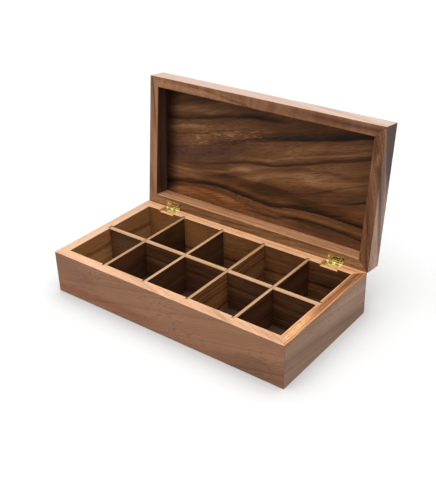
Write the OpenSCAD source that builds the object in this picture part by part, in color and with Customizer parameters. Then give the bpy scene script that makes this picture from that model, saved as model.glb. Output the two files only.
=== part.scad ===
// Tea bag organizer box in solid wood: ten compartments under a hinged lid.
// The origin is the centre of the underside, X runs along the front, Y to the back and Z up.
// The lid is drawn open, standing on the stop that is built into its two brass hinges.
// All sizes are in millimetres and all angles in degrees.

/* [Case] */
// Outside length of the case, left to right
case_length = 368; // [320:1:460]
// Outside depth of the case, front to back
case_depth = 190; // [150:1:240]
// Height of the base, from the table to its rim
base_height = 61; // [45:1:90]
// Height of the lid's walls
lid_height = 28; // [20:1:45]
// Thickness of the mitred walls of the base and the lid
wall_thickness = 14.5; // [13:0.5:18]
// Radius of the eased edges on the walls
edge_radius = 0.5; // [0.3:0.1:1.6]
// Gap between the two rims when the lid is shut
lid_gap = 0.3; // [0.1:0.1:0.8]
// Angle between the rims when the lid stands open
open_angle = 96.5; // [92:0.5:110]

/* [Panels] */
// Thickness of the bottom panel
bottom_thickness = 6; // [4:0.5:9]
// Thickness of the lid's top panel
top_thickness = 4; // [3:0.5:6]
// Width of the rabbet that each panel sits in
rabbet_width = 7; // [5:0.5:8]
// Clearance between a panel's edge and its rabbet
panel_clearance = 0.25; // [0.1:0.05:0.5]

/* [Dividers] */
// Thickness of the long divider
long_divider_thickness = 7.2; // [5:0.1:9]
// Thickness of the cross dividers
cross_divider_thickness = 4.5; // [3.5:0.1:6]
// How much narrower an end compartment is than a middle one
end_cell_difference = 3.25; // [0:0.25:6]
// How far the dividers' top edges lie below the rim
divider_drop = 1.25; // [0.5:0.25:3]
// Radius of the dividers' eased top edges
divider_edge_radius = 0.6; // [0.3:0.1:1]
// Depth of the dados that hold the dividers' ends
dado_depth = 3.5; // [2.5:0.5:5]
// Clearance on each side of a divider in its dado or in a cross lap
joint_clearance = 0.2; // [0.1:0.05:0.4]

/* [Hinges] */
// Length of each hinge along its pin
hinge_length = 25; // [20:1:32]
// Distance from an end of the case to the middle of the nearer hinge
hinge_inset = 47.5; // [38:0.5:56]
// Distance from the pin's axis to the free edge of a leaf
leaf_width = 10.3; // [9:0.1:12]
// Thickness of the sheet that the leaves are rolled from
leaf_thickness = 0.8; // [0.7:0.1:1]
// Radius of the two corners at a leaf's free edge
leaf_corner_radius = 0.6; // [0.2:0.1:1.5]
// Diameter of the hinge pin
pin_diameter = 1.5; // [1.2:0.1:1.8]
// Where the rolled sheet of a knuckle ends, as an angle round the pin
rolled_to = 212; // [200:1:220]
// Gap between neighbouring knuckles
knuckle_gap = 0.2; // [0.1:0.05:0.4]
// Clearance between the barrel and the wood beside it
barrel_clearance = 0.25; // [0.2:0.05:0.5]
// Clearance at each end of a hinge in its mortise
mortise_clearance = 0.4; // [0.2:0.1:1]
// Thickness of the stop bar under the barrel
stop_bar_thickness = 1.2; // [1:0.1:2]
// Gap left between the stop bar and the lid's knuckles when the lid stands open
stop_gap = 0.08; // [0.05:0.01:0.15]

/* [Screws] */
// Length of a screw, head included
screw_length = 9; // [7:0.5:12]
// Diameter of a screw's countersunk head
screw_head_diameter = 3.6; // [3.2:0.1:4]
// Diameter of a screw's shank
screw_shank_diameter = 2; // [1.6:0.1:2.2]
// Distance from a screw to the nearer end of its leaf
screw_end_distance = 3.6; // [3:0.1:5]
// Distance from a screw to its leaf's free edge
screw_edge_distance = 3.1; // [2.8:0.1:3.6]

/* [Hidden] */

$fn = 48;
// Margin by which a cutting shape runs past what it cuts
over = 1;
// Bore and pilot hole clearances, on the radius
bore_clearance = 0.05;
pilot_clearance = 0.05;
// Room left under the tip of a screw
pilot_extra = 0.5;

// Compartments along the length and the dividers between them
columns = 5;
inner_length = case_length - 2 * wall_thickness;
inner_depth = case_depth - 2 * wall_thickness;
cross_total = (columns - 1) * cross_divider_thickness;
middle_cell = (inner_length - cross_total + 2 * end_cell_difference) / columns;
cross_pitch = middle_cell + cross_divider_thickness;
divider_top = base_height - divider_drop;
divider_height = divider_top - bottom_thickness;
lap_height = bottom_thickness + divider_height / 2;
dado_reach = dado_depth - joint_clearance;

// Hinge geometry: both leaves' outer faces lie leaf_offset from the pin's axis
bore_radius = pin_diameter / 2 + bore_clearance;
barrel_radius = bore_radius + leaf_thickness;
leaf_offset = barrel_radius + barrel_clearance;
mortise_depth = 2 * leaf_offset - lid_gap;
hinge_y = case_depth / 2;
hinge_z = base_height - mortise_depth + leaf_offset;
hinge_x = case_length / 2 - hinge_inset;
knuckles = 5;
knuckle_pitch = hinge_length / knuckles;
base_knuckles = [0, 2, 4];
lid_knuckles = [1, 3];
// The lid's square heels come down to stop_z when the lid stands open
stop_z = leaf_offset * cos(open_angle) - barrel_radius * sin(open_angle) - stop_gap;

screw_x = hinge_length / 2 - screw_end_distance;
screw_y = leaf_width - screw_edge_distance;
screw_head_height = leaf_thickness * 0.8;
screw_tip_height = screw_shank_diameter;
recess_width = 0.5;
recess_depth = 0.5;
recess_length = screw_head_diameter * 0.6;

// The shut lid's rim and its outer face
lid_rim_z = base_height + lid_gap;
lid_top_z = lid_rim_z + lid_height;

function cross_x(number) = (number - columns / 2) * cross_pitch;
function knuckle_x(index) = (index - (knuckles - 1) / 2) * knuckle_pitch;

// A wall is named by its turn from the front: 0 front, 90 right, 180 back and 270 left
function wall_length(turn) = turn % 180 == 0 ? case_length : case_depth;
function wall_reach(turn) = turn % 180 == 0 ? case_depth : case_length;

// A rectangle from the origin with its four corners rounded
module eased_rectangle(width, height, radius) {
  translate([radius, 0]) square([width - 2 * radius, height]);
  translate([0, radius]) square([width, height - 2 * radius]);
  for (x = [radius, width - radius], y = [radius, height - radius])
    translate([x, y]) circle(radius);
}

// Cross-section of a wall: outer face on the left, panel rabbet at the lower right
module wall_section(height, rabbet_height) {
  difference() {
    eased_rectangle(wall_thickness, height, edge_radius);
    translate([wall_thickness - rabbet_width, -over]) square([rabbet_width + over, rabbet_height + over]);
  }
}

// A mitred wall along X with its outer face at y = 0 and its panel rabbet at the bottom
module wall(length, reach, height, rabbet_height) {
  intersection() {
    translate([-length / 2, 0, 0]) rotate([90, 0, 90])
      linear_extrude(length) wall_section(height, rabbet_height);
    linear_extrude(height) intersection() {
      polygon([
        [-length / 2, 0],
        [length / 2, 0],
        [length / 2 - wall_thickness, wall_thickness],
        [wall_thickness - length / 2, wall_thickness]
      ]);
      translate([-length / 2, 0]) eased_rectangle(length, reach, edge_radius);
    }
  }
}

// Turns a wall drawn along X into its place on one side of the case
module on_side(turn) {
  rotate(turn) translate([0, -wall_reach(turn) / 2, 0]) children();
}

// Dado in a wall's inner face, drawn in the wall's own place along X
module dado(x, divider_thickness) {
  width = divider_thickness + 2 * joint_clearance;
  translate([x - width / 2, wall_thickness - dado_depth, bottom_thickness])
    cube([width, dado_depth + over, base_height]);
}

module base_wall(turn) {
  color("peru") on_side(turn) difference() {
    wall(wall_length(turn), wall_reach(turn), base_height, bottom_thickness);
    if (turn % 180 == 0) {
      for (number = [1 : columns - 1]) dado(cross_x(number), cross_divider_thickness);
    } else {
      dado(0, long_divider_thickness);
    }
  }
}

// The back wall also has a mortise across its rim for each hinge
module base_back_wall() {
  difference() {
    base_wall(180);
    for (side = [-1, 1]) at_hinge(side) {
      translate([-hinge_length / 2 - mortise_clearance, -wall_thickness - over, -leaf_offset])
        cube([hinge_length + 2 * mortise_clearance, wall_thickness + 2 * over, mortise_depth + over]);
      at_screws() pilot_hole();
    }
  }
}

module panel(thickness) {
  edge = 2 * (wall_thickness - rabbet_width + panel_clearance);
  size = [case_length - edge, case_depth - edge, thickness];
  translate([-size.x / 2, -size.y / 2, 0]) cube(size);
}

module base_bottom_panel() {
  color("burlywood") panel(bottom_thickness);
}

// A divider along X with eased top edges, resting on the bottom panel
module divider(length, thickness) {
  translate([-length / 2, -thickness / 2, bottom_thickness]) rotate([90, 0, 90])
    linear_extrude(length) difference() {
      translate([0, -over]) eased_rectangle(thickness, divider_height + over, divider_edge_radius);
      translate([-over, -2 * over]) square([thickness + 2 * over, 2 * over]);
    }
}

// The long divider is slotted from above for the cross dividers
module long_divider() {
  slot = cross_divider_thickness + 2 * joint_clearance;
  color("peru") difference() {
    divider(inner_length + 2 * dado_reach, long_divider_thickness);
    for (number = [1 : columns - 1])
      translate([cross_x(number) - slot / 2, -long_divider_thickness, lap_height - joint_clearance])
        cube([slot, 2 * long_divider_thickness, divider_height]);
  }
}

// Each cross divider is slotted from below and drops over the long one
module cross_divider(number) {
  slot = long_divider_thickness + 2 * joint_clearance;
  color("peru") translate([cross_x(number), 0, 0]) difference() {
    rotate(90) divider(inner_depth + 2 * dado_reach, cross_divider_thickness);
    translate([-cross_divider_thickness, -slot / 2, bottom_thickness - over])
      cube([2 * cross_divider_thickness, slot, lap_height - bottom_thickness + over]);
  }
}

// Places a hinge drawn with its pin's axis along X through the origin
module at_hinge(side) {
  translate([side * hinge_x, hinge_y, hinge_z]) children();
}

// The two screws of a leaf, at the leaf's inner face and pointing down
module at_screws() {
  for (x = [-screw_x, screw_x])
    translate([x, -screw_y, leaf_thickness - leaf_offset]) children();
}

module screw() {
  difference() {
    rotate_extrude() polygon([
      [0, 0],
      [screw_head_diameter / 2, 0],
      [screw_shank_diameter / 2, -screw_head_height],
      [screw_shank_diameter / 2, screw_tip_height - screw_length],
      [0, -screw_length]
    ]);
    for (angle = [45, 135]) rotate(angle)
      translate([-recess_length / 2, -recess_width / 2, -recess_depth])
        cube([recess_length, recess_width, recess_depth + over]);
  }
}

module pilot_hole() {
  depth = screw_length + pilot_extra;
  translate([0, 0, -depth]) cylinder(r = screw_shank_diameter / 2 + pilot_clearance, h = depth + over);
}

// Countersunk hole through a leaf for one screw
module leaf_hole() {
  radius = screw_shank_diameter / 2 + pilot_clearance;
  translate([0, 0, -leaf_thickness - over]) cylinder(r = radius, h = leaf_thickness + 2 * over);
  translate([0, 0, -screw_head_height])
    cylinder(r1 = radius, r2 = screw_head_diameter / 2 + pilot_clearance, h = screw_head_height);
}

// A knuckle's section, seen along the pin: the sheet comes in under the pin, rolls up behind it
// and over it, and ends just above the leaf
module rolled_section() {
  seam_reach = 2 * barrel_radius;
  difference() {
    circle(barrel_radius);
    polygon([
      [0, 0],
      seam_reach * [cos(rolled_to), sin(rolled_to)],
      seam_reach * [cos(rolled_to + 36), sin(rolled_to + 36)]
    ]);
  }
  translate([-leaf_offset - over, -leaf_offset]) square([leaf_offset + over, leaf_thickness]);
}

// One knuckle, with whatever the children add behind it
module knuckle(index) {
  width = knuckle_pitch - knuckle_gap;
  translate([knuckle_x(index) - width / 2, 0, 0]) {
    rotate([90, 0, 90]) linear_extrude(width) rolled_section();
    children();
  }
}

// The flat of a leaf, with its two free corners rounded
module leaf_plate() {
  translate([-hinge_length / 2, -leaf_width, -leaf_offset]) linear_extrude(leaf_thickness)
    intersection() {
      eased_rectangle(hinge_length, leaf_width, leaf_corner_radius);
      square([hinge_length, leaf_width - leaf_offset]);
    }
}

// A leaf lying under the pin, with its own knuckles and clear of the other leaf's
module leaf(own_knuckles) {
  difference() {
    union() {
      leaf_plate();
      for (index = own_knuckles) knuckle(index) children();
    }
    translate([-hinge_length / 2 - over, 0, 0]) rotate([0, 90, 0])
      cylinder(r = bore_radius, h = hinge_length + 2 * over);
    at_screws() leaf_hole();
  }
}

// The base leaf's knuckles reach down behind the case and carry the stop bar
module base_hinge_leaf(side) {
  width = knuckle_pitch - knuckle_gap;
  bar_length = knuckle_pitch * knuckles - knuckle_gap;
  bar_bottom = stop_z - stop_bar_thickness;
  bar_depth = barrel_radius - knuckle_gap;
  color("gold") at_hinge(side) {
    leaf(base_knuckles)
      translate([0, knuckle_gap, bar_bottom]) cube([width, bar_depth, -barrel_radius / 2 - bar_bottom]);
    translate([-bar_length / 2, knuckle_gap, bar_bottom]) cube([bar_length, bar_depth, stop_bar_thickness]);
  }
}

// The lid leaf's knuckles have square heels that land on the stop bar
module lid_hinge_leaf(side) {
  width = knuckle_pitch - knuckle_gap;
  color("gold") opened() at_hinge(side) mirror([0, 0, 1])
    leaf(lid_knuckles) translate([0, 0, -leaf_offset]) cube([width, barrel_radius, leaf_offset]);
}

module hinge_pin(side) {
  length = knuckle_pitch * knuckles - knuckle_gap;
  color("goldenrod") at_hinge(side) translate([-length / 2, 0, 0]) rotate([0, 90, 0])
    cylinder(d = pin_diameter, h = length);
}

module base_hinge_screws(side) {
  color("gold") at_hinge(side) at_screws() screw();
}

module lid_hinge_screws(side) {
  color("gold") opened() at_hinge(side) mirror([0, 0, 1]) at_screws() screw();
}

// Swings pieces drawn in the shut position round the hinge pins to the open one
module opened() {
  translate([0, hinge_y, hinge_z]) rotate([-open_angle, 0, 0]) translate([0, -hinge_y, -hinge_z])
    children();
}

module lid_wall(turn) {
  color("peru") opened() translate([0, 0, lid_top_z]) mirror([0, 0, 1])
    on_side(turn) wall(wall_length(turn), wall_reach(turn), lid_height, top_thickness);
}

// The lid's back wall also has the pilot holes for its hinge screws
module lid_back_wall() {
  difference() {
    lid_wall(180);
    for (side = [-1, 1])
      opened() at_hinge(side) mirror([0, 0, 1]) at_screws() pilot_hole();
  }
}

module lid_top_panel() {
  color("sienna") opened() translate([0, 0, lid_top_z - top_thickness]) panel(top_thickness);
}

base_wall(0);  // base_front_wall
base_wall(90);  // base_right_wall
base_back_wall();
base_wall(270);  // base_left_wall
base_bottom_panel();
long_divider();
cross_divider(1);  // cross_divider_1
cross_divider(2);  // cross_divider_2
cross_divider(3);  // cross_divider_3
cross_divider(4);  // cross_divider_4
base_hinge_leaf(-1);  // base_hinge_leaf_left
base_hinge_leaf(1);  // base_hinge_leaf_right
base_hinge_screws(-1);  // base_hinge_screws_left
base_hinge_screws(1);  // base_hinge_screws_right
hinge_pin(-1);  // hinge_pin_left
hinge_pin(1);  // hinge_pin_right
lid_wall(0);  // lid_front_wall
lid_wall(90);  // lid_right_wall
lid_back_wall();
lid_wall(270);  // lid_left_wall
lid_top_panel();
lid_hinge_leaf(-1);  // lid_hinge_leaf_left
lid_hinge_leaf(1);  // lid_hinge_leaf_right
lid_hinge_screws(-1);  // lid_hinge_screws_left
lid_hinge_screws(1);  // lid_hinge_screws_right
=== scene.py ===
import math

import bpy
from mathutils import Matrix, Vector


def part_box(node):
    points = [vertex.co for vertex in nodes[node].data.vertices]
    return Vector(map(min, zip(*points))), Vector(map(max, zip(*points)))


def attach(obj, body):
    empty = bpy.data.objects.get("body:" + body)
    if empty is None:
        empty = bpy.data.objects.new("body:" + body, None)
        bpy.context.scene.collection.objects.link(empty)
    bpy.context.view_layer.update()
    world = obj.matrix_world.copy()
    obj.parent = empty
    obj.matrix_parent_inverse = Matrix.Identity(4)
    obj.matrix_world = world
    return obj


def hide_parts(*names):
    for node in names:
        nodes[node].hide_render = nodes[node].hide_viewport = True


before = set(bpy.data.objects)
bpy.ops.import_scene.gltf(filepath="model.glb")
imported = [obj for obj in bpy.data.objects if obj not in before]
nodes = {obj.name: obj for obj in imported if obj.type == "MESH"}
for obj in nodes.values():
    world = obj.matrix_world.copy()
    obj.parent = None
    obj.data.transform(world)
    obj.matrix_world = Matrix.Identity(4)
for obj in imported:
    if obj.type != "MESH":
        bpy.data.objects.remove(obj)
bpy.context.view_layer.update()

scene = bpy.context.scene
mm = 0.001


def linearColour(hexCode):
    # sRGB hex to the linear RGBA that the shaders use
    channels = [int(hexCode[i:i + 2], 16) / 255 for i in (1, 3, 5)]
    return [c / 12.92 if c <= 0.04045 else ((c + 0.055) / 1.055) ** 2.4 for c in channels] + [1.0]


def addNode(tree, kind, inputs=None, **settings):
    # an input is a value, a socket, a node, which stands for its first output, or a list of such nodes
    made = tree.nodes.new(kind)
    for key, value in settings.items():
        setattr(made, key, value)
    for key, value in (inputs or {}).items():
        several = isinstance(value, list) and isinstance(value[0], bpy.types.Node)
        for source in value if several else [value]:
            if isinstance(source, bpy.types.Node):
                source = source.outputs[0]
            if isinstance(source, bpy.types.NodeSocket):
                tree.links.new(source, made.inputs[key])
            else:
                made.inputs[key].default_value = source
    return made


def newTree(name, kind, given, made):
    tree = bpy.data.node_groups.new(name, kind)
    for way, sockets in (("INPUT", given), ("OUTPUT", made)):
        for socketName, socketType in sockets.items():
            tree.interface.new_socket(socketName, in_out=way, socket_type="NodeSocket" + socketType)
    return tree, addNode(tree, "NodeGroupInput").outputs


def setRamp(ramp, stops):
    while len(ramp.elements) < len(stops):
        ramp.elements.new(1.0)
    for element, (position, colour) in zip(ramp.elements, stops):
        element.position = position
        element.color = linearColour(colour)


def setCurve(curveNode, points):
    curve = curveNode.mapping.curves[0]
    while len(curve.points) < len(points):
        curve.points.new(0.5, 0.5)
    for point, (x, y) in zip(curve.points, points):
        point.location = (x, y)
    curveNode.mapping.update()


def newMaterial(name):
    material = bpy.data.materials.new(name)
    material.use_nodes = True
    material.node_tree.nodes.clear()
    return material, material.node_tree


def wear(piece, material):
    piece.data.materials.clear()
    piece.data.materials.append(material)


case = {
    "length": 368,  # all in millimetres
    "depth": 190,
    "wall": 14.5,
    "rim": 61,
    "lidRim": 61.3,
    "dividerTop": 59.75,
}

# Lid pieces are painted by their place in the shut box: this turns a point of the open lid back to it
openAngle = math.radians(96.5)
pinAxis = Vector((0, 95, 59.45)) * mm
lidShut = Matrix.Rotation(openAngle, 3, "X")

cameraView = {
    "place": (0.56923, -0.70187, 0.59213),
    "azimuth": 38.0154,
    "elevation": 29.636,
    "roll": -1.6561,
    "lens": 57.86,
    "sensor": 36,
    "farEnd": 50,
}


def makeCamera(view):
    azimuth, elevation, roll = (math.radians(view[part]) for part in ("azimuth", "elevation", "roll"))
    backward = Vector((
        math.sin(azimuth) * math.cos(elevation),
        -math.cos(azimuth) * math.cos(elevation),
        math.sin(elevation),
    ))
    turn = backward.to_track_quat("Z", "Y").to_matrix() @ Matrix.Rotation(roll, 3, "Z")
    camera = bpy.data.objects.new("camera", bpy.data.cameras.new("camera"))
    camera.matrix_world = Matrix.Translation(view["place"]) @ turn.to_4x4()
    camera.data.lens = view["lens"]
    camera.data.sensor_width = view["sensor"]
    camera.data.clip_end = view["farEnd"]
    scene.collection.objects.link(camera)
    scene.camera = camera


makeCamera(cameraView)
scene.view_settings.view_transform = "Standard"

studio = {
    "floorSize": 40,
    "floorColour": "#ADADAD",  # at this light it renders as white
    "floorFar": 0.30,  # the white sheet is a table's size: further out it throws back less light
    "floorEdge": (0.35, 1.1),
    "skyOverhead": 8.0,
    "skyLevel": 0.06,
    "skyFocus": 4.5,  # higher gathers the light overhead
}


def makeFloor(setup):
    half = setup["floorSize"] / 2
    corners = [(-half, -half, 0), (half, -half, 0), (half, half, 0), (-half, half, 0)]
    mesh = bpy.data.meshes.new("floor")
    mesh.from_pydata(corners, [], [(0, 1, 2, 3)])
    floor = bpy.data.objects.new("floor", mesh)
    scene.collection.objects.link(floor)
    material, tree = newMaterial("matt white paper sweep")
    place = addNode(tree, "ShaderNodeTexCoord").outputs["Object"]
    away = addNode(tree, "ShaderNodeVectorMath", {0: place}, operation="LENGTH").outputs["Value"]
    near, far = setup["floorEdge"]
    bright = addNode(tree, "ShaderNodeMapRange", {0: away, 1: near, 2: far, 3: 1.0, 4: setup["floorFar"]},
                     interpolation_type="SMOOTHSTEP")
    # the camera and the gloss see it white all the way out
    ray = addNode(tree, "ShaderNodeLightPath").outputs
    shown = addNode(tree, "ShaderNodeMath", {0: bright, 1: ray["Is Camera Ray"]}, operation="MAXIMUM")
    shownGlossy = addNode(tree, "ShaderNodeMath", {0: shown, 1: ray["Is Glossy Ray"]}, operation="MAXIMUM")
    colour = addNode(tree, "ShaderNodeVectorMath", {0: linearColour(setup["floorColour"])[:3],
                                                    "Scale": shownGlossy}, operation="SCALE")
    shader = addNode(tree, "ShaderNodeBsdfDiffuse", {"Color": colour})
    addNode(tree, "ShaderNodeOutputMaterial", {"Surface": shader})
    wear(floor, material)


def makeSky(setup):
    # a wide soft light overhead; the camera and the gloss see plain white
    world = bpy.data.worlds.new("studio")
    scene.world = world
    world.use_nodes = True
    tree = world.node_tree
    tree.nodes.clear()
    place = addNode(tree, "ShaderNodeTexCoord").outputs["Generated"]
    split = addNode(tree, "ShaderNodeSeparateXYZ", {"Vector": place})
    height = addNode(tree, "ShaderNodeMath", {0: split.outputs["Z"], 1: 0.0}, operation="MAXIMUM")
    focus = addNode(tree, "ShaderNodeMath", {0: height, 1: setup["skyFocus"]}, operation="POWER")
    level = addNode(tree, "ShaderNodeMath", {0: focus, 1: setup["skyOverhead"], 2: setup["skyLevel"]},
                    operation="MULTIPLY_ADD")
    ray = addNode(tree, "ShaderNodeLightPath").outputs
    seen = addNode(tree, "ShaderNodeMath", {0: ray["Is Camera Ray"], 1: ray["Is Glossy Ray"]},
                   operation="MAXIMUM")
    seenAny = addNode(tree, "ShaderNodeMath", {0: seen, 1: ray["Is Transmission Ray"]}, operation="MAXIMUM")
    light = addNode(tree, "ShaderNodeBackground", {"Color": (1, 1, 1, 1), "Strength": level})
    white = addNode(tree, "ShaderNodeBackground", {"Color": (1, 1, 1, 1), "Strength": 1.0})
    mix = addNode(tree, "ShaderNodeMixShader", {0: seenAny, 1: light, 2: white})
    addNode(tree, "ShaderNodeOutputWorld", {"Surface": mix})


makeFloor(studio)
makeSky(studio)
print("studio ready")

wood = {
    # the lumps of each noise, in millimetres along the grain and across it
    "drift": (110, 40),
    "clouds": (80, 28),  # where the figure is strong or fades
    "fibres": (25, 0.8),  # the real ones are finer than a render shows
    "vessels": (8, 1.2),  # drawn four times as coarse as real pores
    "curls": (9, 1.5),
    "curlLean": math.radians(-8),  # out of the grain
    # noise across the rings: waves to a ring's width, and detail
    "broadRings": (0.45, 1.0),
    "fineRings": (2.1, 2.0),
    "shares": (0.9, 0.8, 0.7, 0.6),  # how much broad rings, fine rings, fibres and clouds shade it
    # the levels of a noise at which it starts to show and is full
    "poresIn": (0.42, 0.58),
    "pores": (0.58, 0.70),
    "flecks": (0.52, 0.68),
}
oil = {
    "IOR": 1.47,
    "fibreRange": (0.3, 0.7),
    "roughness": (0.46, 0.60),
    "relief": 0.05,  # pores this deep and fibres this high, in millimetres
    "bump": 0.6,
}


def addNoise(tree, place, size, detail):
    # a noise whose lumps are this many millimetres along the grain and across it
    squeezed = addNode(tree, "ShaderNodeVectorMath", {0: place, 1: (1 / size[0], 1 / size[1], 1 / size[1])},
                       operation="MULTIPLY")
    return addNode(tree, "ShaderNodeTexNoise", {"Vector": squeezed, "Scale": 1.0, "Detail": detail}).outputs


def makeGrainGroup():
    # Solid wood in millimetres: growth rings round a pith along X, fibres and open pores along the grain
    tree, given = newTree("solid wood grain", "ShaderNodeTree", {
        "Place": "Vector", "Ring Spacing": "Float", "Wander": "Float"},
        {"Tone": "Float", "Pores": "Float", "Flecks": "Float", "Fibre": "Float", "Along": "Vector"})
    drift = addNoise(tree, given["Place"], wood["drift"], 2.0)["Color"]
    centred = addNode(tree, "ShaderNodeVectorMath", {0: drift, 1: (0.5, 0.5, 0.5)}, operation="SUBTRACT")
    wander = addNode(tree, "ShaderNodeVectorMath", {0: centred, "Scale": given["Wander"]}, operation="SCALE")
    moved = addNode(tree, "ShaderNodeVectorMath", {0: given["Place"], 1: wander}, operation="ADD")
    across = addNode(tree, "ShaderNodeVectorMath", {0: moved, 1: (0.0, 1.0, 1.0)}, operation="MULTIPLY")
    radius = addNode(tree, "ShaderNodeVectorMath", {0: across}, operation="LENGTH").outputs["Value"]
    rings = addNode(tree, "ShaderNodeMath", {0: radius, 1: given["Ring Spacing"]}, operation="DIVIDE")
    broad, fine = [
        addNode(tree, "ShaderNodeTexNoise", {"W": rings, "Scale": waves, "Detail": detail},
                noise_dimensions="1D")
        for waves, detail in (wood["broadRings"], wood["fineRings"])]
    fibre = addNoise(tree, moved, wood["fibres"], 2.0)["Fac"]
    cloud = addNoise(tree, given["Place"], wood["clouds"], 1.0)["Fac"]
    vessel = addNoise(tree, moved, wood["vessels"], 0.0)["Fac"]
    leant = addNode(tree, "ShaderNodeVectorRotate", {"Vector": moved, "Angle": wood["curlLean"]},
                    rotation_type="Z_AXIS")
    curl = addNoise(tree, leant, wood["curls"], 0.0)["Fac"]

    tone = 0.5
    for source, share in zip((broad, fine, fibre, cloud), wood["shares"]):
        part = addNode(tree, "ShaderNodeMath", {0: source, 1: -0.5}, operation="ADD")
        tone = addNode(tree, "ShaderNodeMath", {0: part, 1: share, 2: tone}, operation="MULTIPLY_ADD")
    patch, porous, flecks = [
        addNode(tree, "ShaderNodeMapRange", {0: source, 1: wood[levels][0], 2: wood[levels][1]})
        for source, levels in ((cloud, "poresIn"), (vessel, "pores"), (curl, "flecks"))]
    pores = addNode(tree, "ShaderNodeMath", {0: porous, 1: patch}, operation="MULTIPLY")
    addNode(tree, "NodeGroupOutput", {"Tone": tone, "Pores": pores, "Flecks": flecks, "Fibre": fibre,
                                      "Along": moved})
    return tree


grainGroup = makeGrainGroup()


def shutPlace(tree, onLid):
    # a point's place in the shut box, in millimetres
    place = addNode(tree, "ShaderNodeTexCoord").outputs["Object"]
    if onLid:
        place = addNode(tree, "ShaderNodeMapping", {"Vector": place, "Location": pinAxis - lidShut @ pinAxis,
                                                    "Rotation": lidShut.to_euler()})
    return addNode(tree, "ShaderNodeVectorMath", {0: place, "Scale": 1 / mm}, operation="SCALE")


def addGrain(tree, local, board):
    # lays the board's length along X, with the grain running out of it a little
    turn = Matrix.Rotation(math.radians(board.get("slope", 0)), 3, "Y")
    turn = turn @ Matrix.Rotation(math.radians(board.get("yaw", 0)), 3, "Z")
    if board.get("crosswise"):
        turn = turn @ Matrix.Rotation(-math.pi / 2, 3, "Z")
    place = addNode(tree, "ShaderNodeMapping", {"Vector": local, "Rotation": turn.to_euler(),
                                                "Location": (board.get("shift", 0), *board["pith"])})
    return addNode(tree, "ShaderNodeGroup", {
        "Place": place, "Ring Spacing": board["spacing"], "Wander": board.get("wander", 6.0)},
        node_tree=grainGroup).outputs


def layColours(tree, colour, layers):
    # lays colours over one another: how much of each, the colour, and whether it covers or tints
    for amount, over, blend in layers:
        if isinstance(over, str):
            over = linearColour(over)
        colour = addNode(tree, "ShaderNodeMix", {0: amount, 6: colour, 7: over}, data_type="RGBA",
                         blend_type=blend).outputs[2]
    return colour


def addBand(tree, band, along, across):
    # a band of the figure follows a drawn line, in millimetres, and fades away on its two sides
    places, levels = zip(*band["line"])
    low, high = min(levels) - 1, max(levels) + 1
    run = addNode(tree, "ShaderNodeMapRange", {0: along, 1: places[0], 2: places[-1]})
    line = addNode(tree, "ShaderNodeFloatCurve", {1: run})
    setCurve(line, [((place - places[0]) / (places[-1] - places[0]), (level - low) / (high - low))
                    for place, level in band["line"]])
    off = addNode(tree, "ShaderNodeMath", {0: line, 1: float(low - high), 2: across},
                  operation="MULTIPLY_ADD")
    before, after = band["soft"]
    fades = [{0: off, 1: low - before, 2: low}, {0: off, 1: low + after, 2: low, 4: band["depth"]}]
    fades += [{0: along, 1: band[end][0], 2: band[end][1]} for end in ("from", "to") if end in band]
    shares = [addNode(tree, "ShaderNodeMapRange", fade, interpolation_type="SMOOTHSTEP") for fade in fades]
    while len(shares) > 1:
        shares.append(addNode(tree, "ShaderNodeMath", {0: shares.pop(), 1: shares.pop()},
                              operation="MULTIPLY"))
    return shares[0]


def paintWood(tree, grain, paint, along, across):
    # one face of a board: its grain, the bands drawn on it, and a colour from dark to light
    reach = 0.5 / paint["contrast"]
    tone = addNode(tree, "ShaderNodeMapRange", {0: grain["Tone"], 1: 0.5 - reach, 2: 0.5 + reach})
    layers = []
    for band in paint.get("bands", ()):
        amount = addBand(tree, band, along, across)
        if "tint" in band:
            layers.append((amount, band["tint"], "MULTIPLY"))
        else:
            tone = addNode(tree, "ShaderNodeMath", {0: tone, 1: amount}, operation="SUBTRACT")
    ramp = addNode(tree, "ShaderNodeValToRGB", {0: tone})
    dark, mid, light = paint["colours"]
    setRamp(ramp.color_ramp, [(0.1, dark), (0.5, mid), (0.9, light)])
    pores = addNode(tree, "ShaderNodeMath", {0: grain["Pores"], 1: paint.get("pores", 0.4)},
                    operation="MULTIPLY")
    return layColours(tree, ramp, layers + [(pores, dark, "MIX")])


def addFinish(tree, colour, grain, shine):
    # hardwax oil rubbed thin: a soft broad sheen that the open pores break up
    low, high = oil["fibreRange"]
    smooth, coarse = oil["roughness"]
    rough = addNode(tree, "ShaderNodeMapRange", {0: grain["Fibre"], 1: low, 2: high, 3: smooth, 4: coarse})
    sunk = addNode(tree, "ShaderNodeMath", {0: grain["Pores"], 1: -oil["relief"], 2: 0.0},
                   operation="MULTIPLY_ADD")
    level = addNode(tree, "ShaderNodeMath", {0: grain["Fibre"], 1: oil["relief"], 2: sunk},
                    operation="MULTIPLY_ADD")
    bump = addNode(tree, "ShaderNodeBump", {"Height": level, "Distance": 1 * mm, "Strength": oil["bump"]})
    shader = addNode(tree, "ShaderNodeBsdfPrincipled", {
        "Base Color": colour, "Roughness": rough, "IOR": oil["IOR"], "Specular IOR Level": shine,
        "Normal": bump})
    addNode(tree, "ShaderNodeOutputMaterial", {"Surface": shader})


joinery = {
    # where a face's colour starts to change into the next one's and is all that one's, in millimetres
    "intoInside": (0.4, 0.1),  # outside the inner face
    "intoRim": (0.5, 0.2),  # short of the rim
    "intoMortise": 0.1,
    "intoFloor": 0.2,
    "glueWidth": (0.45, 0.1),
    "glueStrength": 0.35,
    "glueColour": "#2E1B10",
    "shine": 0.3,
}


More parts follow.
